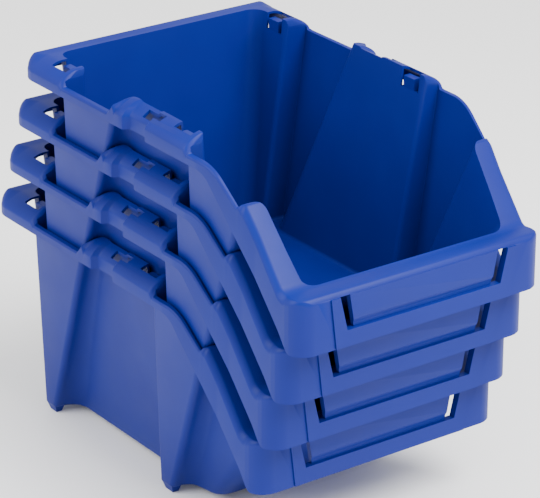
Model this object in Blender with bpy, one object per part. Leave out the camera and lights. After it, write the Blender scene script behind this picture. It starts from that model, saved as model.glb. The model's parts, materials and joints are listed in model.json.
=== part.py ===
"""Four open-front plastic parts bins, nested one inside the other.

Every bin is the same one-piece moulding: a thin tapered tub whose side walls carry two
hollow pillars, a rolled rim that hangs over a rail at the back and dips along the sides
to a low front lip, and a lip with a recessed label panel. The upper bins sit forward of
and above the one below, and lift straight off it.

Metres, +Z up. +Y is the back of the bins and -Y their open front. One bin is modelled in
its own frame, with its feet at FOOT_BOTTOM and mirrored about x = 0. Placing it lifts the
bottom bin's feet to z = 0, and ORIGIN_Y puts the middle of the whole stack's box over x = y = 0.
"""

import math

import bmesh
import bpy
from mathutils import Vector

# The stack
BIN_NAMES = ("bin_1_bottom", "bin_2_lower_middle", "bin_3_upper_middle", "bin_4_top")
NEST_RISE = 0.0412  # each bin above the one below
NEST_SHIFT = 0.0154  # and this much towards the front

# Moulding
WALL = 0.0016
FRONT_WALL = 0.0021  # measured level, through the sloping front wall
FLOOR_UNDER = 0.0015
FLOOR_TOP = 0.0034
FLOOR_ROUND = 0.0030
RIM_LOW = 0.1600
ABOVE_ALL = 0.1790
BELOW_ALL = -0.0300
WELD_GAP = 0.000004
STATION_GAP = 0.0008  # the least distance between two sections of the hood

# Tub, outside: each pair is the value at RIM_LOW and the value at FLOOR_UNDER
BACK_Y = (0.1558, 0.1500)
CORNER_X = (0.0907, 0.0775)
PILLAR_X = (0.1095, 0.0975)
PANEL_X = (0.0963, 0.0776)
CHEEK_X = (0.0937, 0.0815)
FRONT_CORNER_X = (0.0963, 0.0765)
FRONT_Y = (-0.2087, -0.0785)
REAR_PILLAR_BACK_Y = (0.1177, 0.1296)
REAR_PILLAR_FRONT_Y = (0.0488, 0.1154)
FRONT_PILLAR_BACK_Y = (-0.0435, -0.0315)
FRONT_PILLAR_FRONT_Y = (-0.1134, -0.0468)
CORNER_ROUND = 0.0120
PILLAR_ROUND = 0.0022
PILLAR_FRONT_ROUND = 0.0045
PANEL_FILLET = (0.0072, 0.0145)
CHEEK_FILLET = (0.0080, 0.0110)
ARC_STEPS = 2
FINE_ROUND = 0.0045  # on the rim, a rounding this small is made as one flat
TUB_LEVELS = 2

# Rim and lip, outside
RIM_X = 0.1126
LIP_X = 0.1072
RIM_BACK_Y = 0.1735
LIP_FRONT_Y = -0.1693
NECK_X = 0.1075
NECK_BACK_Y = 0.0335
NECK_FRONT_Y = 0.0045
CORNER_TOP = 0.1705
SHOULDER_TOP = 0.1730
NOTCH_Z = 0.1376
CHEEK_TOP = 0.1412
LIP_TOP = 0.0910
LIP_BOTTOM = 0.0502
SKIRT_BOTTOM = 0.1535
REAR_LOW_BACK_Y = 0.1140
REAR_LOW_FRONT_Y = 0.0530
FRONT_LOW_BACK_Y = -0.0470
NOTCH_Y = -0.1020
DROP_LONG = 0.0030  # along y, where the high rim falls to a low stretch
RIM_CHAMFER = 0.0170
CHEEK_CHAMFER = 0.0050
LIP_CHAMFER = 0.0020
LOW_CHAMFER = 0.0014
ROLL_DROP = 0.0105  # the most that a rounded outer edge falls

# Sockets that a stacked bin's feet drop into: their rear and front ends
REAR_SOCKET_Y = (0.1405, 0.1215)
FRONT_SOCKET_Y = (-0.0190, -0.0395)
SOCKET_X = 0.1035
SOCKET_BOTTOM = 0.1572
POCKET_SUNK = 0.0006  # the pocket stops this far above its shelf's top
POCKET_INWARDS = 0.0080  # and reaches this far through the tub's wall
FINGER_SETBACK = 0.0010
FINGER_TOP = 0.1668
FINGER_LONG = 0.0120
FINGER_WIDE = 0.0060
SLOT_Y = (0.0180, -0.0040)
SLOT_X = (0.0990, 0.1050)

# Label panel on the lip
FRAME_TOP_X = 0.0800
FRAME_BOTTOM_X = 0.0755
FRAME_PROUD = 0.0012
LABEL_X = 0.0640
LABEL_Z = (0.0628, 0.0880)
LABEL_DEEP = 0.0026
LABEL_BACKING = 0.0044
SLIT_TOP_X = (0.0640, 0.0725)
SLIT_BOTTOM_X = (0.0595, 0.0665)

# Feet under the pillars
FOOT_BOTTOM = -0.0030
FOOT_INSIDE_BACK = 0.0010
FOOT_X = (0.0878, 0.0968)
FOOT_STEP = 0.0010  # behind the front edge of its pillar
FOOT_CHAMFER = 0.0020
FOOT_SUNK = 0.0018

ORIGIN_Y = (len(BIN_NAMES) - 1) * NEST_SHIFT / 2 - (RIM_BACK_Y + LIP_FRONT_Y - FRAME_PROUD) / 2


def clear_scene():
    for old in list(bpy.data.objects):
        bpy.data.objects.remove(old, do_unlink=True)


def new_collection(name):
    made = bpy.data.collections.new(name)
    bpy.context.scene.collection.children.link(made)
    return made


def object_from(mesh_builder, name, collection):
    """A mesh object from a bmesh, with its faces turned outwards."""
    bmesh.ops.recalc_face_normals(mesh_builder, faces=mesh_builder.faces)
    mesh = bpy.data.meshes.new(name)
    mesh_builder.to_mesh(mesh)
    mesh_builder.free()
    made = bpy.data.objects.new(name, mesh)
    collection.objects.link(made)
    return made


def tool(mesh_builder, name):
    """A solid that only shapes another one, so it is never drawn."""
    made = object_from(mesh_builder, name, bpy.data.collections["tools"])
    made.hide_render = True
    made.display_type = "WIRE"
    return made


def rounded(corners, steps, closed):
    """A polyline through (x, y, radius) corners, each rounded by an arc of that radius."""
    points = []
    count = len(corners)
    for i, (x, y, radius) in enumerate(corners):
        here = Vector((x, y))
        if radius <= 0 or (not closed and i in (0, count - 1)):
            points.append(here)
            continue
        to_last = Vector(corners[i - 1][:2]) - here
        to_next = Vector(corners[(i + 1) % count][:2]) - here
        to_last.normalize()
        to_next.normalize()
        half = to_last.angle(to_next) / 2
        centre = here + (to_last + to_next).normalized() * radius / math.sin(half)
        start = here + to_last * radius / math.tan(half) - centre
        turn = math.pi - 2 * half
        if start.cross(to_last) > 0:
            turn = -turn
        flats = steps if closed or radius > FINE_ROUND else 1
        for k in range(flats + 1):
            angle = turn * k / flats
            cos, sin = math.cos(angle), math.sin(angle)
            points.append(centre + Vector((start.x * cos - start.y * sin, start.x * sin + start.y * cos)))
    return points


def inset(corners, distance, closed, last_distance=None):
    """The (x, y, radius) corners with every edge moved to its left, arcs kept concentric.

    last_distance is the move of a closed loop's last edge where it differs.
    """
    count = len(corners)
    moved = []
    for i, (x, y, radius) in enumerate(corners):
        here = Vector((x, y))
        lines = []
        for a, b, edge in ((i - 1, i, i - 1), (i, i + 1, i)):
            if not closed and (a < 0 or b >= count):
                continue
            along = Vector(corners[b % count][:2]) - Vector(corners[a % count][:2])
            along.normalize()
            left = Vector((-along.y, along.x))
            is_last = closed and edge % count == count - 1
            gap = last_distance if is_last and last_distance is not None else distance
            lines.append((here + left * gap, along))
        if len(lines) == 1:
            moved.append((lines[0][0].x, lines[0][0].y, 0.0))
            continue
        (p, u), (q, v) = lines
        cross = u.x * v.y - u.y * v.x
        spot = p + u * ((q - p).x * v.y - (q - p).y * v.x) / cross
        new_radius = radius - distance if cross > 0 else radius + distance
        moved.append((spot.x, spot.y, max(new_radius, 0.0003) if radius > 0 else 0.0))
    return moved


def at_height(pair, z):
    top, low = pair
    return low + (top - low) * (z - FLOOR_UNDER) / (RIM_LOW - FLOOR_UNDER)


def tub_corners(z):
    """The tub's plan at height z as (x, y, radius) corners, anticlockwise from the front right."""
    pillar, panel = at_height(PILLAR_X, z), at_height(PANEL_X, z)
    corner, cheek = at_height(CORNER_X, z), at_height(CHEEK_X, z)
    front_start = at_height(FRONT_PILLAR_FRONT_Y, z)
    front_end = at_height(FRONT_PILLAR_BACK_Y, z)
    rear_start = at_height(REAR_PILLAR_FRONT_Y, z)
    rear_end = at_height(REAR_PILLAR_BACK_Y, z)
    right = [
        (at_height(FRONT_CORNER_X, z), at_height(FRONT_Y, z), CORNER_ROUND),
        (cheek, front_start, at_height(CHEEK_FILLET, z)),
        (pillar, front_start, PILLAR_FRONT_ROUND),
        (pillar, front_end, PILLAR_ROUND),
        (panel, front_end, PILLAR_ROUND),
        (panel, rear_start, at_height(PANEL_FILLET, z)),
        (pillar, rear_start, PILLAR_FRONT_ROUND),
        (pillar, rear_end, PILLAR_ROUND),
        (corner, rear_end, PILLAR_ROUND),
        (corner, at_height(BACK_Y, z), CORNER_ROUND),
    ]
    return right + [(-x, y, radius) for x, y, radius in reversed(right)]


def tub_loop(z, depth):
    """The tub's outline at height z, moved inwards by depth."""
    corners = tub_corners(z)
    if depth > 0:
        corners = inset(corners, depth, True, depth * FRONT_WALL / WALL)
    return [Vector((p.x, p.y, z)) for p in rounded(corners, ARC_STEPS, True)]


def loft(loops):
    """A closed solid through loops that have the same number of points.

    Each twisted four-sided face is split along the diagonal that mirrors its opposite number.
    """
    builder = bmesh.new()
    rings = [[builder.verts.new(point) for point in loop] for loop in loops]
    for low, high in zip(rings, rings[1:]):
        for i in range(len(low)):
            j = (i + 1) % len(low)
            if low[i].co.x + low[j].co.x > 0:
                builder.faces.new((low[i], low[j], high[j]))
                builder.faces.new((low[i], high[j], high[i]))
            else:
                builder.faces.new((low[i], low[j], high[i]))
                builder.faces.new((low[j], high[j], high[i]))
    builder.faces.new(rings[0])
    builder.faces.new(rings[-1])
    return builder


def tub_solid(name, bottom, top, depth):
    """The tub's outside (depth 0) or its hollow (depth WALL), its floor edge rounded."""
    loops = []
    for k in range(ARC_STEPS + 1):
        turn = math.pi / 2 * k / ARC_STEPS
        loops.append(
            tub_loop(bottom + FLOOR_ROUND * (1 - math.cos(turn)), depth + FLOOR_ROUND * (1 - math.sin(turn)))
        )
    first = bottom + FLOOR_ROUND
    for k in range(1, TUB_LEVELS + 1):
        loops.append(tub_loop(first + (top - first) * k / TUB_LEVELS, depth))
    return tool(loft(loops), name)


def rim_profile():
    """The rim's top edge seen from the side, as (y, z, radius) corners from back to front."""
    return [
        (RIM_BACK_Y, RIM_LOW, 0.0),
        (RIM_BACK_Y - 0.0040, CORNER_TOP, 0.0060),
        (REAR_LOW_BACK_Y + DROP_LONG, CORNER_TOP, 0.0022),
        (REAR_LOW_BACK_Y, RIM_LOW, 0.0018),
        (REAR_LOW_FRONT_Y, RIM_LOW, 0.0040),
        (REAR_LOW_FRONT_Y - 0.0110, SHOULDER_TOP, 0.0060),
        (FRONT_LOW_BACK_Y + DROP_LONG, SHOULDER_TOP - 0.0008, 0.0022),
        (FRONT_LOW_BACK_Y, RIM_LOW, 0.0018),
        (-0.0740, RIM_LOW, 0.0340),
        (NOTCH_Y + 0.0008, NOTCH_Z, 0.0014),
        (NOTCH_Y - 0.0014, CHEEK_TOP, 0.0026),
        (NOTCH_Y - 0.0050, CHEEK_TOP, 0.0035),
        (-0.1480, LIP_TOP, 0.0120),
        (LIP_FRONT_Y + 0.0030, LIP_TOP, 0.0026),
        (LIP_FRONT_Y, LIP_TOP - 0.0034, 0.0),
    ]


def skirt_profile():
    """The lower edge of the skirt that hangs from the rim, as (y, z, radius) corners."""
    return [
        (RIM_BACK_Y, SKIRT_BOTTOM, 0.0),
        (-0.0660, SKIRT_BOTTOM, 0.0180),
        (-0.1470, 0.0640, 0.0200),
        (-0.1570, LIP_BOTTOM, 0.0060),
        (LIP_FRONT_Y, LIP_BOTTOM, 0.0),
    ]


def rim_plan():
    """The rim's right-hand outline seen from above, as (y, x, radius) corners, back to front."""
    return [
        (RIM_BACK_Y, 0.0, 0.0),
        (RIM_BACK_Y, RIM_X, 0.0180),
        (NECK_BACK_Y, RIM_X, 0.0010),
        (NECK_BACK_Y - 0.0030, NECK_X, 0.0020),
        (NECK_FRONT_Y + 0.0020, NECK_X, 0.0020),
        (NECK_FRONT_Y, RIM_X, 0.0010),
        (-0.0600, RIM_X, 0.0400),
        (-0.1200, LIP_X, 0.0400),
        (LIP_FRONT_Y, LIP_X, 0.0150),
        (LIP_FRONT_Y, 0.0, 0.0),
    ]


def chamfer_profile():
    """How far the rim's outer top edge is cut back, as (y, size) points from back to front."""
    return [
        (RIM_BACK_Y, LOW_CHAMFER),
        (RIM_BACK_Y - 0.0170, RIM_CHAMFER),
        (REAR_LOW_BACK_Y + DROP_LONG, RIM_CHAMFER),
        (REAR_LOW_BACK_Y, LOW_CHAMFER),
        (REAR_LOW_FRONT_Y - 0.0068, LOW_CHAMFER),
        (REAR_LOW_FRONT_Y - 0.0120, RIM_CHAMFER),
        (FRONT_LOW_BACK_Y + DROP_LONG, RIM_CHAMFER),
        (FRONT_LOW_BACK_Y, LOW_CHAMFER),
        (NOTCH_Y, LOW_CHAMFER),
        (NOTCH_Y - 0.0035, CHEEK_CHAMFER),
        (-0.1520, CHEEK_CHAMFER),
        (LIP_FRONT_Y + 0.0060, LIP_CHAMFER),
        (LIP_FRONT_Y, LIP_CHAMFER),
    ]


def value_at(points, y):
    """The second coordinate at y of a polyline that runs from high y to low y."""
    for (y0, v0), (y1, v1) in zip(points, points[1:]):
        if y1 <= y <= y0:
            return v0 if y0 == y1 else v0 + (v1 - v0) * (y0 - y) / (y0 - y1)
    return points[0][1] if y > points[0][0] else points[-1][1]


def hood_stations(profiles, back, front):
    """Every y at which one of the profiles bends, none of them crowding its neighbour."""
    bends = sorted((y for points in profiles for y, _ in points), reverse=True)
    stations = [back]
    for y in bends:
        if stations[-1] - y > STATION_GAP and y - front > STATION_GAP:
            stations.append(y)
    return stations + [front]


def rolled_edge(wide, high, cut):
    """One section's outer top edge, falling away from (wide - cut, high) to the side wall."""
    fall = min(cut * 1.35, ROLL_DROP)
    return [
        (wide, high - fall),
        (wide - cut * 0.25, high - fall * 0.45),
        (wide - cut, high),
    ]


def hood_solid(name, depth):
    """The rim, skirt and lip as a solid hood; a depth makes it smaller and leaves it no floor."""
    top = [tuple(p) for p in rounded(inset(rim_profile(), depth, False), ARC_STEPS, False)]
    plan = [tuple(p) for p in rounded(inset(rim_plan(), depth, False), ARC_STEPS, False)][1:-1]
    low = [tuple(p) for p in rounded(skirt_profile(), ARC_STEPS, False)]
    chamfer = chamfer_profile()
    loops = []
    for y in hood_stations((top, plan, low, chamfer), RIM_BACK_Y - depth, LIP_FRONT_Y + depth):
        high, wide, cut = value_at(top, y), value_at(plan, y), value_at(chamfer, y)
        bottom = value_at(low, y) if depth == 0 else BELOW_ALL
        half = [(wide, bottom)] + rolled_edge(wide, high, cut)
        ring = half + [(-x, z) for x, z in reversed(half)]
        loops.append([Vector((x, y, z)) for x, z in ring])
    return tool(loft(loops), name)


def box(name, low, high, taper=0.0):
    """A box between two corners; taper narrows its underside by that much on each side."""
    builder = bmesh.new()
    bmesh.ops.create_cube(builder, size=1)
    middle, size = (Vector(low) + Vector(high)) / 2, Vector(high) - Vector(low)
    for vert in builder.verts:
        spot = Vector([vert.co[k] * size[k] for k in range(3)])
        if spot.z < 0:
            spot.x -= math.copysign(taper, spot.x)
            spot.y -= math.copysign(taper, spot.y)
        vert.co = middle + spot
    return tool(builder, name)


def mirror_pairs(x_range):
    """The same stretch of x on the right and on the left."""
    low, high = x_range
    return (("right", low, high), ("left", -high, -low))


def apply_boolean(target, other, operation):
    step = target.modifiers.new(other.name, "BOOLEAN")
    step.object = other
    step.operation = operation
    step.solver = "EXACT"


def socket_tools(y_range, name):
    """Beside the tub's wall: a shelf under the rim, a pocket down to it, and the finger in the pocket."""
    back, front = y_range
    middle = (back + front) / 2 + FINGER_SETBACK
    shelves, cuts, fingers = [], [], []
    wall_x = {REAR_SOCKET_Y: CORNER_X[0], FRONT_SOCKET_Y: PANEL_X[0]}[y_range]
    for side, low, high in mirror_pairs((wall_x - WALL * 0.5, RIM_X - WALL * 0.5)):
        shelf_low = (low, front - WALL, SOCKET_BOTTOM - WALL)
        shelves.append(box(f"{name}_shelf_{side}", shelf_low, (high, back + WALL, SOCKET_BOTTOM)))
    for side, low, high in mirror_pairs((wall_x - POCKET_INWARDS, SOCKET_X)):
        pocket_low = (low, front, SOCKET_BOTTOM + POCKET_SUNK)
        cuts.append(box(f"{name}_pocket_{side}", pocket_low, (high, back, ABOVE_ALL)))
    for side, low, high in mirror_pairs((wall_x - WALL, wall_x - WALL + FINGER_WIDE)):
        finger_low = (low, middle - FINGER_LONG / 2, SOCKET_BOTTOM - WALL / 2)
        finger_high = (high, middle + FINGER_LONG / 2, FINGER_TOP)
        fingers.append(box(f"{name}_finger_{side}", finger_low, finger_high))
    return shelves, cuts, fingers


def foot_tools():
    """A block under each pillar, narrower at its underside."""
    feet, foot_top = [], FLOOR_UNDER + FOOT_SUNK
    stretches = {
        "rear": (REAR_PILLAR_FRONT_Y[1] + FOOT_STEP, REAR_PILLAR_BACK_Y[1] - FOOT_INSIDE_BACK),
        "front": (FRONT_PILLAR_FRONT_Y[1] + FOOT_STEP, FRONT_PILLAR_BACK_Y[1] - FOOT_INSIDE_BACK),
    }
    for name, (front, back) in stretches.items():
        for side, low, high in mirror_pairs(FOOT_X):
            feet.append(
                box(f"{name}_foot_{side}", (low, front, FOOT_BOTTOM), (high, back, foot_top), FOOT_CHAMFER)
            )
    return feet


def label_frame():
    """The proud trapezium on the front of the lip, with the block that backs the label recess."""
    front = LIP_FRONT_Y - FRAME_PROUD
    high, low = LIP_TOP - 0.0030, LIP_BOTTOM + 0.0004
    outline = [(-FRAME_BOTTOM_X, low), (FRAME_BOTTOM_X, low), (FRAME_TOP_X, high), (-FRAME_TOP_X, high)]
    loops = [[Vector((x, y, z)) for x, z in outline] for y in (front, LIP_FRONT_Y + LABEL_BACKING)]
    return tool(loft(loops), "label_frame")


def label_recess():
    """The wedge cut from the label frame: shallow at its top edge, deepest at its foot."""
    front = LIP_FRONT_Y - FRAME_PROUD
    low, high = LABEL_Z
    outline = [
        (front - 0.0050, low),
        (front + LABEL_DEEP, low),
        (front + LABEL_DEEP, low + 0.0030),
        (front + LABEL_DEEP * 0.45, low + 0.0062),
        (front + LABEL_DEEP * 0.35, high),
        (front - 0.0050, high),
    ]
    loops = [[Vector((x, y, z)) for y, z in outline] for x in (-LABEL_X - 0.0010, LABEL_X + 0.0010)]
    return tool(loft(loops), "label_recess")


def label_slit(sign):
    """The slot through the lip at one end of the label recess, leaning outwards as the frame does."""
    low, high = LABEL_Z
    outline = [(SLIT_BOTTOM_X[0], low), (SLIT_BOTTOM_X[1], low), (SLIT_TOP_X[1], high), (SLIT_TOP_X[0], high)]
    ends = (LIP_FRONT_Y - 0.0060, LIP_FRONT_Y + LABEL_BACKING + 0.0030)
    loops = [[Vector((x * sign, y, z)) for x, z in outline] for y in ends]
    return tool(loft(loops), "label_slit_right" if sign > 0 else "label_slit_left")


def bin_mesh():
    """One bin's finished mesh."""
    body = tub_solid("tub", FLOOR_UNDER, ABOVE_ALL, 0.0)
    apply_boolean(body, hood_solid("cap", WALL * 0.5), "INTERSECT")
    hood = hood_solid("hood", 0.0)
    apply_boolean(hood, hood_solid("hood_hollow", WALL), "DIFFERENCE")
    apply_boolean(body, hood, "UNION")
    apply_boolean(body, label_frame(), "UNION")
    for foot in foot_tools():
        apply_boolean(body, foot, "UNION")
    apply_boolean(body, tub_solid("hollow", FLOOR_TOP, ABOVE_ALL + 0.0030, WALL), "DIFFERENCE")
    for y_range, name in ((REAR_SOCKET_Y, "rear"), (FRONT_SOCKET_Y, "front")):
        shelves, cuts, fingers = socket_tools(y_range, name)
        for shelf in shelves:
            apply_boolean(body, shelf, "UNION")
        for cut in cuts:
            apply_boolean(body, cut, "DIFFERENCE")
        for finger in fingers:
            apply_boolean(body, finger, "UNION")
    for side, low, high in mirror_pairs(SLOT_X):
        slot = box(f"rim_slot_{side}", (low, SLOT_Y[1], RIM_LOW), (high, SLOT_Y[0], ABOVE_ALL))
        apply_boolean(body, slot, "DIFFERENCE")
    apply_boolean(body, label_recess(), "DIFFERENCE")
    for sign in (1, -1):
        apply_boolean(body, label_slit(sign), "DIFFERENCE")
    weld = body.modifiers.new("weld", "WELD")
    weld.merge_threshold = WELD_GAP
    graph = bpy.context.evaluated_depsgraph_get()
    mesh = bpy.data.meshes.new_from_object(body.evaluated_get(graph))
    mesh.name = "nesting_bin"
    return mesh


def blue_plastic():
    material = bpy.data.materials.new("blue_polypropylene")
    material.use_nodes = True
    shader = material.node_tree.nodes["Principled BSDF"]
    shader.inputs["Base Color"].default_value = (0.020, 0.075, 0.480, 1)
    shader.inputs["Roughness"].default_value = 0.42
    shader.inputs["Metallic"].default_value = 0.0
    return material


def build():
    clear_scene()
    new_collection("tools")
    parts = new_collection("nesting_parts_bins")
    mesh = bin_mesh()
    mesh.materials.clear()
    mesh.materials.append(blue_plastic())
    for level, name in enumerate(BIN_NAMES):
        made = bpy.data.objects.new(name, mesh)
        made.location = (0, ORIGIN_Y - level * NEST_SHIFT, level * NEST_RISE - FOOT_BOTTOM)
        parts.objects.link(made)


build()
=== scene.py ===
"""The looks of the nested parts bins: one finely moulded bin, shown four times in blue plastic.

The bin is modelled in its own frame, standing on z = 0 with its open front towards -Y, and
each copy is put where the CAD node it replaces stands.
"""

import json
import math

import bmesh
import bpy
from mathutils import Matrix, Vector

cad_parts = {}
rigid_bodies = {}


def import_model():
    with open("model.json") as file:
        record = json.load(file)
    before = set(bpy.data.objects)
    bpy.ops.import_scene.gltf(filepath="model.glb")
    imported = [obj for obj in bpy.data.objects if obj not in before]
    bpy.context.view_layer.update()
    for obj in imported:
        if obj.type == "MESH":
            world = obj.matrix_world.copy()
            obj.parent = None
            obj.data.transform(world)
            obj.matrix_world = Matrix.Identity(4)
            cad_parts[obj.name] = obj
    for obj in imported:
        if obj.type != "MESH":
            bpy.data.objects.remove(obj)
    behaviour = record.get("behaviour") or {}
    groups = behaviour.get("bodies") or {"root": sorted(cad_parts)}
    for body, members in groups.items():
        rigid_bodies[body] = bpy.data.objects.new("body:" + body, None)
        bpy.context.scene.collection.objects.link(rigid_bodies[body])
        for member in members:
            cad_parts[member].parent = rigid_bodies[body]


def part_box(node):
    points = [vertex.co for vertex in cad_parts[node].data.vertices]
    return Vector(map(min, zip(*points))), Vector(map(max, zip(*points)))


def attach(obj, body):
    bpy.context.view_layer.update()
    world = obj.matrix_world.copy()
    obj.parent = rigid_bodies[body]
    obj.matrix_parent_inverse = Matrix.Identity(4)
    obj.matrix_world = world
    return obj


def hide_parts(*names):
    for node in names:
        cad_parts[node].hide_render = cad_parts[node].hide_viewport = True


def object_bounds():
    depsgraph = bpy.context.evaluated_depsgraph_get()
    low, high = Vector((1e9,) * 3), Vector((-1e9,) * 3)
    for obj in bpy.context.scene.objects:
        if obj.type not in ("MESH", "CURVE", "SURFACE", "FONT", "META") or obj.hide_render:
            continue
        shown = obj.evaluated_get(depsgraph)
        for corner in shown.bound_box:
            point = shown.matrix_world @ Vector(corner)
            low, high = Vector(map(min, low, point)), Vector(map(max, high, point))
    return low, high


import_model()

CAD_BOX = [list(corner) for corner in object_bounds()]
BIN_BODIES = ("bin_1_bottom", "bin_2_lower_middle", "bin_3_upper_middle", "bin_4_top")

# Moulding, in metres
WALL = 0.0016
FRONT_WALL = 0.0021
FLOOR_UNDER = 0.0015
FLOOR_TOP = 0.0034
FLOOR_ROUND = 0.0030
RIM_LOW = 0.1600
ABOVE_ALL = 0.1790
HOLLOW_ABOVE = 0.0030
BELOW_ALL = -0.0300
STATION_GAP = 0.0005
WELD_WITHIN = 0.00001
SMOOTH_BELOW = math.radians(30)

# Tub, outside: each pair is the value at RIM_LOW and the value at FLOOR_UNDER
BACK_Y = (0.1558, 0.1500)
CORNER_X = (0.0907, 0.0775)
PILLAR_X = (0.1095, 0.0975)
PANEL_X = (0.0963, 0.0776)
CHEEK_X = (0.0937, 0.0815)
FRONT_CORNER_X = (0.0963, 0.0765)
FRONT_Y = (-0.2087, -0.0785)
REAR_PILLAR_BACK_Y = (0.1177, 0.1296)
REAR_PILLAR_FRONT_Y = (0.0488, 0.1154)
FRONT_PILLAR_BACK_Y = (-0.0435, -0.0315)
FRONT_PILLAR_FRONT_Y = (-0.1134, -0.0468)
CORNER_ROUND = 0.0120
PILLAR_ROUND = 0.0022
PILLAR_FRONT_ROUND = 0.0045
PANEL_FILLET = (0.0072, 0.0145)
CHEEK_FILLET = (0.0080, 0.0110)
ARC_STEPS = 6
TUB_LEVELS = 10
LEAST_ROUND = 0.0003

# Rim and lip, outside
RIM_X = 0.1126
LIP_X = 0.1072
RIM_BACK_Y = 0.1735
LIP_FRONT_Y = -0.1693
NECK_X = 0.1075
NECK_BACK_Y = 0.0335
NECK_FRONT_Y = 0.0045
CORNER_TOP = 0.1705
SHOULDER_TOP = 0.1730
CORNER_LEAN = 0.0040
SHOULDER_RISE_LONG = 0.0110
SHOULDER_FALL = 0.0008
SLOPE_TOP_Y = -0.0740
NOTCH_Z = 0.1376
NOTCH_Y = -0.1020
CHEEK_FOOT_Y = -0.1480
LIP_EDGE_LONG = 0.0030
LIP_EDGE_DROP = 0.0034
DROP_LONG = 0.0030
CHEEK_TOP = 0.1412
LIP_TOP = 0.0910
LIP_BOTTOM = 0.0502
SKIRT_BOTTOM = 0.1535
SKIRT_BEND_Y = -0.0660
SKIRT_FOOT = (-0.1470, 0.0640)
SKIRT_LIP_Y = -0.1570
TAPER_BACK_Y = -0.0600
TAPER_FRONT_Y = -0.1200
REAR_LOW_BACK_Y = 0.1140
REAR_LOW_FRONT_Y = 0.0530
FRONT_LOW_BACK_Y = -0.0470
RIM_CHAMFER = 0.0170
CHEEK_CHAMFER = 0.0050
LIP_CHAMFER = 0.0020
LOW_CHAMFER = 0.0014
ROLL_DROP = 0.0105
ROLL_SLOPE = 1.35
ROLL_POWER = 1.5

# Sockets
REAR_SOCKET_Y = (0.1405, 0.1215)
FRONT_SOCKET_Y = (-0.0190, -0.0395)
SOCKET_X = 0.1035
SOCKET_BOTTOM = 0.1572
POCKET_SUNK = 0.0006
POCKET_INWARDS = 0.0080
FINGER_SETBACK = 0.0010
FINGER_TOP = 0.1668
FINGER_LONG = 0.0120
FINGER_WIDE = 0.0060
SLOT_Y = (0.0180, -0.0040)
SLOT_X = (0.0990, 0.1050)

# Label panel
FRAME_TOP_X = 0.0800
FRAME_BOTTOM_X = 0.0755
FRAME_PROUD = 0.0012
LABEL_X = 0.0640
LABEL_Z = (0.0628, 0.0880)
LABEL_DEEP = 0.0026
LABEL_BACKING = 0.0044
FRAME_UNDER_LIP = 0.0030
FRAME_OVER_SKIRT = 0.0004
RECESS_FOOT_TOP = 0.0030
RECESS_BEND = 0.0062
RECESS_BEND_DEPTH = 0.45
RECESS_TOP_DEPTH = 0.35
RECESS_PAST_LABEL = 0.0010
CUT_AHEAD = 0.0050
SLIT_AHEAD = 0.0060
SLIT_BEHIND = 0.0030
SLIT_TOP_X = (0.0640, 0.0725)
SLIT_BOTTOM_X = (0.0595, 0.0665)

# Feet
FOOT_BOTTOM = -0.0030
FOOT_INSIDE_BACK = 0.0010
FOOT_X = (0.0878, 0.0968)
FOOT_STEP = 0.0010
FOOT_CHAMFER = 0.0020
FOOT_SUNK = 0.0018

# Plastic: linear colours, and noise scales per metre
BLUE_DARK = (0.0024, 0.0088, 0.155, 1)
BLUE_LIGHT = (0.0032, 0.0120, 0.178, 1)
MOTTLE_RANGE = (0.30, 0.75)
MOTTLE_NOISE = (14, 3)
GRAIN_NOISE = (2600, 2)
SMEAR_NOISE = (45, 4)
PLASTIC_IOR = 1.49
SPECULAR_LEVEL = 0.18
ROUGHNESS = (0.40, 0.52)
GRAIN_STRENGTH = 0.10
GRAIN_DEPTH = 0.0002

# Studio: lights as name, azimuth, elevation, distance, size and watts
AREA_LIGHTS = (("key", 20, 55, 2.2, 1.4, 105), ("side", -105, 35, 2.4, 1.6, 48))
LIGHTS_AIM = (0, 0, 0.12)
WORLD_STRENGTH = 1.15
FLOOR_SIZE = 12
FLOOR_SUNK = 0.0002
FLOOR_COLOR = (0.97, 0.97, 0.97)
FLOOR_ROUGHNESS = 0.6

# Camera, as angles round the object and distances from the middle of its box
VIEW_AZIMUTH = -35.61
VIEW_ELEVATION = 23.41
VIEW_LENS = 194.7
VIEW_DISTANCE = 2.1569
VIEW_RIGHT = 0.0074
VIEW_UP = 0.0126


def object_from(builder, name):
    bmesh.ops.recalc_face_normals(builder, faces=builder.faces)
    mesh = bpy.data.meshes.new(name)
    builder.to_mesh(mesh)
    builder.free()
    made = bpy.data.objects.new(name, mesh)
    bpy.context.scene.collection.objects.link(made)
    return made


def rounded(corners, steps, closed):
    """A polyline through (x, y, radius) corners, each rounded by an arc of that radius."""
    points = []
    count = len(corners)
    for i, (x, y, radius) in enumerate(corners):
        here = Vector((x, y))
        if radius <= 0 or (not closed and i in (0, count - 1)):
            points.append(here)
            continue
        to_last = (Vector(corners[i - 1][:2]) - here).normalized()
        to_next = (Vector(corners[(i + 1) % count][:2]) - here).normalized()
        half = to_last.angle(to_next) / 2
        centre = here + (to_last + to_next).normalized() * radius / math.sin(half)
        start = here + to_last * radius / math.tan(half) - centre
        turn = math.pi - 2 * half
        if start.cross(to_last) > 0:
            turn = -turn
        for k in range(steps + 1):
            angle = turn * k / steps
            cos, sin = math.cos(angle), math.sin(angle)
            points.append(centre + Vector((start.x * cos - start.y * sin, start.x * sin + start.y * cos)))
    return points


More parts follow.
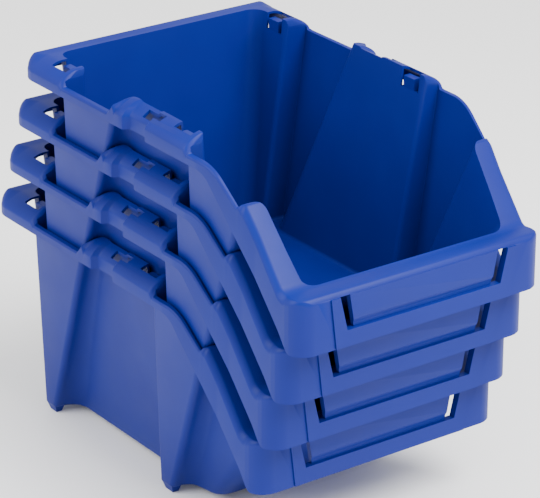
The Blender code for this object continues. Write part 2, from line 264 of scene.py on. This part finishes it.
def inset(corners, distance, closed, last_distance=None):
    """The (x, y, radius) corners with every edge moved to its left, arcs kept concentric."""
    count = len(corners)
    moved = []
    for i, (x, y, radius) in enumerate(corners):
        here = Vector((x, y))
        lines = []
        for a, b, edge in ((i - 1, i, i - 1), (i, i + 1, i)):
            if not closed and (a < 0 or b >= count):
                continue
            along = (Vector(corners[b % count][:2]) - Vector(corners[a % count][:2])).normalized()
            left = Vector((-along.y, along.x))
            is_last = closed and edge % count == count - 1
            gap = last_distance if is_last and last_distance is not None else distance
            lines.append((here + left * gap, along))
        if len(lines) == 1:
            moved.append((lines[0][0].x, lines[0][0].y, 0.0))
            continue
        (p, u), (q, v) = lines
        cross = u.cross(v)
        spot = p + u * ((q - p).cross(v)) / cross
        new_radius = radius - distance if cross > 0 else radius + distance
        moved.append((spot.x, spot.y, max(new_radius, LEAST_ROUND) if radius > 0 else 0.0))
    return moved


def at_height(pair, z):
    top, low = pair
    return low + (top - low) * (z - FLOOR_UNDER) / (RIM_LOW - FLOOR_UNDER)


def tub_corners(z):
    """The tub's plan at height z as (x, y, radius) corners, anticlockwise from the front right."""
    pillar, panel = at_height(PILLAR_X, z), at_height(PANEL_X, z)
    corner, cheek = at_height(CORNER_X, z), at_height(CHEEK_X, z)
    front_start = at_height(FRONT_PILLAR_FRONT_Y, z)
    front_end = at_height(FRONT_PILLAR_BACK_Y, z)
    rear_start = at_height(REAR_PILLAR_FRONT_Y, z)
    rear_end = at_height(REAR_PILLAR_BACK_Y, z)
    right = [
        (at_height(FRONT_CORNER_X, z), at_height(FRONT_Y, z), CORNER_ROUND),
        (cheek, front_start, at_height(CHEEK_FILLET, z)),
        (pillar, front_start, PILLAR_FRONT_ROUND),
        (pillar, front_end, PILLAR_ROUND),
        (panel, front_end, PILLAR_ROUND),
        (panel, rear_start, at_height(PANEL_FILLET, z)),
        (pillar, rear_start, PILLAR_FRONT_ROUND),
        (pillar, rear_end, PILLAR_ROUND),
        (corner, rear_end, PILLAR_ROUND),
        (corner, at_height(BACK_Y, z), CORNER_ROUND),
    ]
    return right + [(-x, y, radius) for x, y, radius in reversed(right)]


def tub_loop(z, depth):
    corners = tub_corners(z)
    if depth > 0:
        corners = inset(corners, depth, True, depth * FRONT_WALL / WALL)
    return [Vector((p.x, p.y, z)) for p in rounded(corners, ARC_STEPS, True)]


def loft(loops):
    """A closed solid through loops with the same number of points, split so that it mirrors."""
    builder = bmesh.new()
    rings = [[builder.verts.new(point) for point in loop] for loop in loops]
    for low, high in zip(rings, rings[1:]):
        for i in range(len(low)):
            j = (i + 1) % len(low)
            if low[i].co.x + low[j].co.x > 0:
                builder.faces.new((low[i], low[j], high[j]))
                builder.faces.new((low[i], high[j], high[i]))
            else:
                builder.faces.new((low[i], low[j], high[i]))
                builder.faces.new((low[j], high[j], high[i]))
    builder.faces.new(rings[0])
    builder.faces.new(rings[-1])
    return builder


def tub_solid(name, bottom, top, depth):
    loops = []
    for k in range(ARC_STEPS + 1):
        turn = math.pi / 2 * k / ARC_STEPS
        z = bottom + FLOOR_ROUND * (1 - math.cos(turn))
        loops.append(tub_loop(z, depth + FLOOR_ROUND * (1 - math.sin(turn))))
    first = bottom + FLOOR_ROUND
    for k in range(1, TUB_LEVELS + 1):
        loops.append(tub_loop(first + (top - first) * k / TUB_LEVELS, depth))
    return object_from(loft(loops), name)


def rim_profile():
    """The rim's top edge seen from the side, as (y, z, radius) corners from back to front."""
    return [
        (RIM_BACK_Y, RIM_LOW, 0.0),
        (RIM_BACK_Y - CORNER_LEAN, CORNER_TOP, 0.0060),
        (REAR_LOW_BACK_Y + DROP_LONG, CORNER_TOP, 0.0022),
        (REAR_LOW_BACK_Y, RIM_LOW, 0.0018),
        (REAR_LOW_FRONT_Y, RIM_LOW, 0.0040),
        (REAR_LOW_FRONT_Y - SHOULDER_RISE_LONG, SHOULDER_TOP, 0.0060),
        (FRONT_LOW_BACK_Y + DROP_LONG, SHOULDER_TOP - SHOULDER_FALL, 0.0022),
        (FRONT_LOW_BACK_Y, RIM_LOW, 0.0018),
        (SLOPE_TOP_Y, RIM_LOW, 0.0340),
        (NOTCH_Y + 0.0008, NOTCH_Z, 0.0014),
        (NOTCH_Y - 0.0014, CHEEK_TOP, 0.0026),
        (NOTCH_Y - 0.0050, CHEEK_TOP, 0.0035),
        (CHEEK_FOOT_Y, LIP_TOP, 0.0120),
        (LIP_FRONT_Y + LIP_EDGE_LONG, LIP_TOP, 0.0026),
        (LIP_FRONT_Y, LIP_TOP - LIP_EDGE_DROP, 0.0),
    ]


def skirt_profile():
    """The lower edge of the skirt that hangs from the rim, as (y, z, radius) corners."""
    return [
        (RIM_BACK_Y, SKIRT_BOTTOM, 0.0),
        (SKIRT_BEND_Y, SKIRT_BOTTOM, 0.0180),
        (*SKIRT_FOOT, 0.0200),
        (SKIRT_LIP_Y, LIP_BOTTOM, 0.0060),
        (LIP_FRONT_Y, LIP_BOTTOM, 0.0),
    ]


def rim_plan():
    """The rim's right-hand outline seen from above, as (y, x, radius) corners, back to front."""
    return [
        (RIM_BACK_Y, 0.0, 0.0),
        (RIM_BACK_Y, RIM_X, 0.0180),
        (NECK_BACK_Y, RIM_X, 0.0010),
        (NECK_BACK_Y - 0.0030, NECK_X, 0.0020),
        (NECK_FRONT_Y + 0.0020, NECK_X, 0.0020),
        (NECK_FRONT_Y, RIM_X, 0.0010),
        (TAPER_BACK_Y, RIM_X, 0.0400),
        (TAPER_FRONT_Y, LIP_X, 0.0400),
        (LIP_FRONT_Y, LIP_X, 0.0150),
        (LIP_FRONT_Y, 0.0, 0.0),
    ]


def chamfer_profile():
    """How far the rim's outer top edge is rolled back, as (y, size) points from back to front."""
    return [
        (RIM_BACK_Y, LOW_CHAMFER),
        (RIM_BACK_Y - 0.0170, RIM_CHAMFER),
        (REAR_LOW_BACK_Y + DROP_LONG, RIM_CHAMFER),
        (REAR_LOW_BACK_Y, LOW_CHAMFER),
        (REAR_LOW_FRONT_Y - 0.0068, LOW_CHAMFER),
        (REAR_LOW_FRONT_Y - 0.0120, RIM_CHAMFER),
        (FRONT_LOW_BACK_Y + DROP_LONG, RIM_CHAMFER),
        (FRONT_LOW_BACK_Y, LOW_CHAMFER),
        (NOTCH_Y, LOW_CHAMFER),
        (NOTCH_Y - 0.0035, CHEEK_CHAMFER),
        (-0.1520, CHEEK_CHAMFER),
        (LIP_FRONT_Y + 0.0060, LIP_CHAMFER),
        (LIP_FRONT_Y, LIP_CHAMFER),
    ]


def value_at(points, y):
    for (y0, v0), (y1, v1) in zip(points, points[1:]):
        if y1 <= y <= y0:
            return v0 if y0 == y1 else v0 + (v1 - v0) * (y0 - y) / (y0 - y1)
    return points[0][1] if y > points[0][0] else points[-1][1]


def hood_stations(profiles, back, front):
    """Every y at which one of the profiles bends, none of them crowding its neighbour."""
    bends = sorted((y for points in profiles for y, _ in points), reverse=True)
    stations = [back]
    for y in bends:
        if stations[-1] - y > STATION_GAP and y - front > STATION_GAP:
            stations.append(y)
    return stations + [front]


def shoulder(wide, high, cut):
    """The rolled outer top edge of one section, from the side wall up to the top."""
    fall = min(cut * ROLL_SLOPE, ROLL_DROP)
    points = []
    for k in range(2 * ARC_STEPS + 1):
        out = math.cos(math.pi / 2 * k / (2 * ARC_STEPS))
        sunk = 0.5 * out**ROLL_POWER + 0.5 * (1 - math.sqrt(1 - out * out))
        points.append((wide - cut * (1 - out), high - fall * sunk))
    return points


def hood_solid(name, depth):
    """The rim, skirt and lip as a solid hood; a depth makes it smaller and leaves it no floor."""
    top = [tuple(p) for p in rounded(inset(rim_profile(), depth, False), ARC_STEPS, False)]
    plan = [tuple(p) for p in rounded(inset(rim_plan(), depth, False), ARC_STEPS, False)][1:-1]
    low = [tuple(p) for p in rounded(skirt_profile(), ARC_STEPS, False)]
    chamfer = chamfer_profile()
    loops = []
    for y in hood_stations((top, plan, low, chamfer), RIM_BACK_Y - depth, LIP_FRONT_Y + depth):
        high, wide, cut = value_at(top, y), value_at(plan, y), value_at(chamfer, y)
        bottom = value_at(low, y) if depth == 0 else BELOW_ALL
        half = [(wide, bottom)] + shoulder(wide, high, cut)
        ring = half + [(-x, z) for x, z in reversed(half)]
        loops.append([Vector((x, y, z)) for x, z in ring])
    return object_from(loft(loops), name)


def box(name, low, high, taper=0.0):
    builder = bmesh.new()
    bmesh.ops.create_cube(builder, size=1)
    middle, size = (Vector(low) + Vector(high)) / 2, Vector(high) - Vector(low)
    for vert in builder.verts:
        spot = Vector([vert.co[k] * size[k] for k in range(3)])
        if spot.z < 0:
            spot.x -= math.copysign(taper, spot.x)
            spot.y -= math.copysign(taper, spot.y)
        vert.co = middle + spot
    return object_from(builder, name)


def mirror_pairs(x_range):
    low, high = x_range
    return (("right", low, high), ("left", -high, -low))


def apply_boolean(target, other, operation):
    step = target.modifiers.new(other.name, "BOOLEAN")
    step.object = other
    step.operation = operation
    step.solver = "EXACT"
    other.hide_render = True
    other.hide_viewport = True


def cut_sockets(body, y_range, wall_x, name):
    """Beside the wall: a shelf under the rim, a pocket down to it, and the finger in the pocket."""
    back, front = y_range
    middle = (back + front) / 2 + FINGER_SETBACK
    for side, low, high in mirror_pairs((wall_x - WALL * 0.5, RIM_X - WALL * 0.5)):
        shelf_low = (low, front - WALL, SOCKET_BOTTOM - WALL)
        shelf = box(f"{name}_shelf_{side}", shelf_low, (high, back + WALL, SOCKET_BOTTOM))
        apply_boolean(body, shelf, "UNION")
    for side, low, high in mirror_pairs((wall_x - POCKET_INWARDS, SOCKET_X)):
        pocket_low = (low, front, SOCKET_BOTTOM + POCKET_SUNK)
        pocket = box(f"{name}_pocket_{side}", pocket_low, (high, back, ABOVE_ALL))
        apply_boolean(body, pocket, "DIFFERENCE")
    for side, low, high in mirror_pairs((wall_x - WALL, wall_x - WALL + FINGER_WIDE)):
        finger_low = (low, middle - FINGER_LONG / 2, SOCKET_BOTTOM - WALL / 2)
        finger_high = (high, middle + FINGER_LONG / 2, FINGER_TOP)
        finger = box(f"{name}_finger_{side}", finger_low, finger_high)
        apply_boolean(body, finger, "UNION")


def add_feet(body):
    stretches = {
        "rear": (REAR_PILLAR_FRONT_Y[1] + FOOT_STEP, REAR_PILLAR_BACK_Y[1] - FOOT_INSIDE_BACK),
        "front": (FRONT_PILLAR_FRONT_Y[1] + FOOT_STEP, FRONT_PILLAR_BACK_Y[1] - FOOT_INSIDE_BACK),
    }
    for name, (front, back) in stretches.items():
        for side, low, high in mirror_pairs(FOOT_X):
            ends = (low, front, FOOT_BOTTOM), (high, back, FLOOR_UNDER + FOOT_SUNK)
            apply_boolean(body, box(f"{name}_foot_{side}", *ends, FOOT_CHAMFER), "UNION")


def label_frame():
    front = LIP_FRONT_Y - FRAME_PROUD
    high, low = LIP_TOP - FRAME_UNDER_LIP, LIP_BOTTOM + FRAME_OVER_SKIRT
    outline = [(-FRAME_BOTTOM_X, low), (FRAME_BOTTOM_X, low), (FRAME_TOP_X, high), (-FRAME_TOP_X, high)]
    loops = [[Vector((x, y, z)) for x, z in outline] for y in (front, LIP_FRONT_Y + LABEL_BACKING)]
    return object_from(loft(loops), "label_frame")


def label_recess():
    """The wedge cut from the label frame: shallow at its top edge, deepest at its foot."""
    front = LIP_FRONT_Y - FRAME_PROUD
    low, high = LABEL_Z
    outline = [
        (front - CUT_AHEAD, low),
        (front + LABEL_DEEP, low),
        (front + LABEL_DEEP, low + RECESS_FOOT_TOP),
        (front + LABEL_DEEP * RECESS_BEND_DEPTH, low + RECESS_BEND),
        (front + LABEL_DEEP * RECESS_TOP_DEPTH, high),
        (front - CUT_AHEAD, high),
    ]
    end = LABEL_X + RECESS_PAST_LABEL
    loops = [[Vector((x, y, z)) for y, z in outline] for x in (-end, end)]
    return object_from(loft(loops), "label_recess")


def label_slit(sign):
    """The slot through the lip at one end of the label recess, leaning outwards as the frame does."""
    low, high = LABEL_Z
    bottom = [(x, low) for x in SLIT_BOTTOM_X]
    outline = bottom + [(x, high) for x in reversed(SLIT_TOP_X)]
    ends = (LIP_FRONT_Y - SLIT_AHEAD, LIP_FRONT_Y + LABEL_BACKING + SLIT_BEHIND)
    loops = [[Vector((x * sign, y, z)) for x, z in outline] for y in ends]
    return object_from(loft(loops), "label_slit_right" if sign > 0 else "label_slit_left")


def bin_mesh():
    """One bin's finished mesh."""
    before = set(bpy.data.objects)
    body = tub_solid("tub", FLOOR_UNDER, ABOVE_ALL, 0.0)
    apply_boolean(body, hood_solid("cap", WALL * 0.5), "INTERSECT")
    hood = hood_solid("hood", 0.0)
    apply_boolean(hood, hood_solid("hood_hollow", WALL), "DIFFERENCE")
    apply_boolean(body, hood, "UNION")
    apply_boolean(body, label_frame(), "UNION")
    add_feet(body)
    apply_boolean(body, tub_solid("hollow", FLOOR_TOP, ABOVE_ALL + HOLLOW_ABOVE, WALL), "DIFFERENCE")
    cut_sockets(body, REAR_SOCKET_Y, CORNER_X[0], "rear")
    cut_sockets(body, FRONT_SOCKET_Y, PANEL_X[0], "front")
    for side, low, high in mirror_pairs(SLOT_X):
        slot = box(f"rim_slot_{side}", (low, SLOT_Y[1], RIM_LOW), (high, SLOT_Y[0], ABOVE_ALL))
        apply_boolean(body, slot, "DIFFERENCE")
    apply_boolean(body, label_recess(), "DIFFERENCE")
    for sign in (1, -1):
        apply_boolean(body, label_slit(sign), "DIFFERENCE")
    weld = body.modifiers.new("weld", "WELD")
    weld.merge_threshold = WELD_WITHIN
    graph = bpy.context.evaluated_depsgraph_get()
    mesh = bpy.data.meshes.new_from_object(body.evaluated_get(graph))
    for made in set(bpy.data.objects) - before:
        bpy.data.objects.remove(made)
    mesh.name = "moulded_bin"
    for polygon in mesh.polygons:
        polygon.use_smooth = True
    mesh.set_sharp_from_angle(angle=SMOOTH_BELOW)
    return mesh


def blue_plastic():
    material = bpy.data.materials.new("moulded_blue_plastic")
    material.use_nodes = True
    nodes, links = material.node_tree.nodes, material.node_tree.links
    shader = nodes["Principled BSDF"]
    shader.inputs["IOR"].default_value = PLASTIC_IOR
    shader.inputs["Specular IOR Level"].default_value = SPECULAR_LEVEL
    place = nodes.new("ShaderNodeTexCoord")

    def noise(scale, detail):
        made = nodes.new("ShaderNodeTexNoise")
        made.inputs["Scale"].default_value = scale
        made.inputs["Detail"].default_value = detail
        links.new(place.outputs["Object"], made.inputs["Vector"])
        return made

    mottle, grain, smear = (noise(*kind) for kind in (MOTTLE_NOISE, GRAIN_NOISE, SMEAR_NOISE))
    tint = nodes.new("ShaderNodeValToRGB")
    ramp = tint.color_ramp.elements
    ramp[0].position, ramp[1].position = MOTTLE_RANGE
    ramp[0].color, ramp[1].color = BLUE_DARK, BLUE_LIGHT
    links.new(mottle.outputs["Fac"], tint.inputs["Fac"])
    links.new(tint.outputs["Color"], shader.inputs["Base Color"])
    gloss = nodes.new("ShaderNodeMapRange")
    gloss.inputs["To Min"].default_value = ROUGHNESS[0]
    gloss.inputs["To Max"].default_value = ROUGHNESS[1]
    links.new(smear.outputs["Fac"], gloss.inputs["Value"])
    links.new(gloss.outputs["Result"], shader.inputs["Roughness"])
    bump = nodes.new("ShaderNodeBump")
    bump.inputs["Strength"].default_value = GRAIN_STRENGTH
    bump.inputs["Distance"].default_value = GRAIN_DEPTH
    links.new(grain.outputs["Fac"], bump.inputs["Height"])
    links.new(bump.outputs["Normal"], shader.inputs["Normal"])
    return material


def show_bins():
    mesh = bin_mesh()
    mesh.materials.clear()
    mesh.materials.append(blue_plastic())
    own_low = Vector((-RIM_X, LIP_FRONT_Y - FRAME_PROUD, FOOT_BOTTOM))
    low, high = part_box(BIN_BODIES[0])
    own_high = own_low + high - low
    for vert in mesh.vertices:
        vert.co = [min(max(vert.co[k], own_low[k]), own_high[k]) for k in range(3)]
    for body in BIN_BODIES:
        low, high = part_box(body)
        made = bpy.data.objects.new("moulded_" + body, mesh)
        bpy.context.scene.collection.objects.link(made)
        made.location = ((low + high) - (own_low + own_high)) / 2
        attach(made, body)
        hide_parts(body)


def plain(name, color, roughness):
    material = bpy.data.materials.new(name)
    material.use_nodes = True
    shader = material.node_tree.nodes["Principled BSDF"]
    shader.inputs["Base Color"].default_value = (*color, 1)
    shader.inputs["Roughness"].default_value = roughness
    return material


def area_light(name, azimuth, elevation, distance, size, energy):
    data = bpy.data.lights.new(name, "AREA")
    data.size = size
    data.energy = energy
    made = bpy.data.objects.new(name, data)
    aim = Vector(LIGHTS_AIM)
    made.location = aim + direction(azimuth, elevation) * distance
    made.rotation_euler = (made.location - aim).to_track_quat("Z", "Y").to_euler()
    bpy.context.scene.collection.objects.link(made)


def direction(azimuth, elevation):
    """From the object towards a viewer at these angles: azimuth 0 is in front, at -Y."""
    a, e = math.radians(azimuth), math.radians(elevation)
    return Vector((math.sin(a) * math.cos(e), -math.cos(a) * math.cos(e), math.sin(e)))


def studio():
    bpy.ops.mesh.primitive_plane_add(size=FLOOR_SIZE, location=(0, 0, -FLOOR_SUNK))
    floor = bpy.context.object
    floor.name = "floor"
    floor.data.materials.append(plain("pale_floor", FLOOR_COLOR, FLOOR_ROUGHNESS))
    world = bpy.data.worlds.new("studio")
    bpy.context.scene.world = world
    world.use_nodes = True
    sky = world.node_tree.nodes["Background"]
    sky.inputs["Color"].default_value = (1, 1, 1, 1)
    sky.inputs["Strength"].default_value = WORLD_STRENGTH
    for light in AREA_LIGHTS:
        area_light(*light)


def camera():
    low, high = (Vector(c) for c in CAD_BOX)
    back = direction(VIEW_AZIMUTH, VIEW_ELEVATION)
    turn = back.to_track_quat("Z", "Y")
    aim = (low + high) / 2 + turn @ Vector((VIEW_RIGHT, VIEW_UP, 0))
    data = bpy.data.cameras.new("camera")
    data.lens = VIEW_LENS
    data.sensor_width = 36
    made = bpy.data.objects.new("camera", data)
    made.location = aim + back * VIEW_DISTANCE
    made.rotation_euler = turn.to_euler()
    bpy.context.scene.collection.objects.link(made)
    bpy.context.scene.camera = made


show_bins()
studio()
camera()
bpy.context.view_layer.update()
